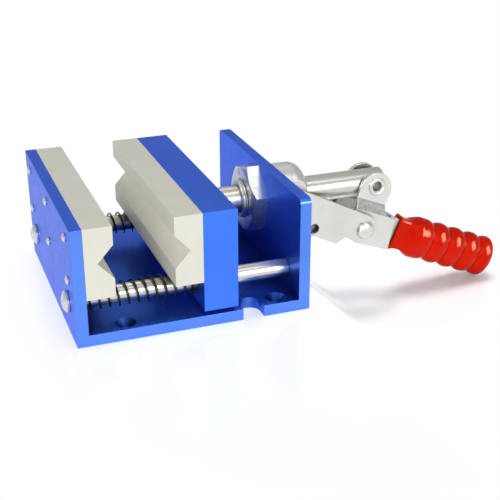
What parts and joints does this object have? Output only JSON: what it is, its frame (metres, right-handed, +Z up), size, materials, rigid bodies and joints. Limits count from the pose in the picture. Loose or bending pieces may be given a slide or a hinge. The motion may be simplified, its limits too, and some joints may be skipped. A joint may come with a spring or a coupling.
{
  "type": "golf shaft clamp",
  "caption": "Bench clamp for a golf shaft: blue channel with pale vee jaws, one fixed and one on a sprung slide pushed by a toggle linkage with a red ribbed lever handle.",
  "frame": {"origin": "middle of the channel's underside", "axes": "+X along the slide towards the handle, +Y along the jaws away from the front edge, +Z up from the bench"},
  "size_m": [0.2788, 0.127, 0.0933],
  "materials": {
    "blue_anodised": "satin anodised",
    "jaw_plastic": "satin",
    "plated_steel": "zinc plated",
    "ground_steel": "ground bright",
    "spring_steel": "black oxide",
    "pressed_steel": "satin plated",
    "chromed_steel": "polished",
    "bush_bronze": "machined",
    "red_vinyl": "gloss"
  },
  "bodies": {
    "frame": {"base_channel": "blue_anodised", "fixed_jaw": "jaw_plastic", "fixed_jaw_screws": "plated_steel", "guide_rod_front": "ground_steel", "guide_rod_rear": "ground_steel", "rod_screws_left": "plated_steel", "rod_screws_right": "plated_steel", "return_spring_front": "spring_steel", "return_spring_rear": "spring_steel", "clamp_barrel": "pressed_steel", "mounting_nut": "pressed_steel", "trunnion_pins": "plated_steel"},
    "carriage": {"slide_block": "blue_anodised", "moving_jaw": "jaw_plastic", "moving_jaw_screws": "plated_steel", "guide_bush_front": "bush_bronze", "guide_bush_rear": "bush_bronze", "plunger": "chromed_steel", "plunger_stud": "plated_steel", "jam_nut": "plated_steel"},
    "handle": {"handle_frame": "pressed_steel", "handle_grip": "red_vinyl", "ear_rivet": "plated_steel"},
    "links": {"link_front": "pressed_steel", "link_rear": "pressed_steel", "link_rivets": "plated_steel"}
  },
  "joints": [
    {"name": "carriage_slide", "type": "slide", "parent": "frame", "child": "carriage", "axis": [-1, 0, 0], "range_m": [0, 0.02926], "stiffness_N_per_m": 1200, "springref_m": -0.02, "deforming": ["return_spring_front", "return_spring_rear"]},
    {"name": "handle_pivot", "type": "hinge", "parent": "carriage", "child": "handle", "pos_m": [0.126, 0, 0.0412], "axis": [0, -1, 0], "range_deg": [0, 113.36]},
    {"name": "link_pivot", "type": "hinge", "parent": "frame", "child": "links", "pos_m": [0.0708, 0, 0.0403], "axis": [0, -1, 0], "range_deg": [0, 28.23]}
  ],
  "couplings": [
    {"joint": "handle_pivot", "follows": "carriage_slide", "rad_per_m": 67.621},
    {"joint": "link_pivot", "follows": "carriage_slide", "rad_per_m": 16.839}
  ]
}
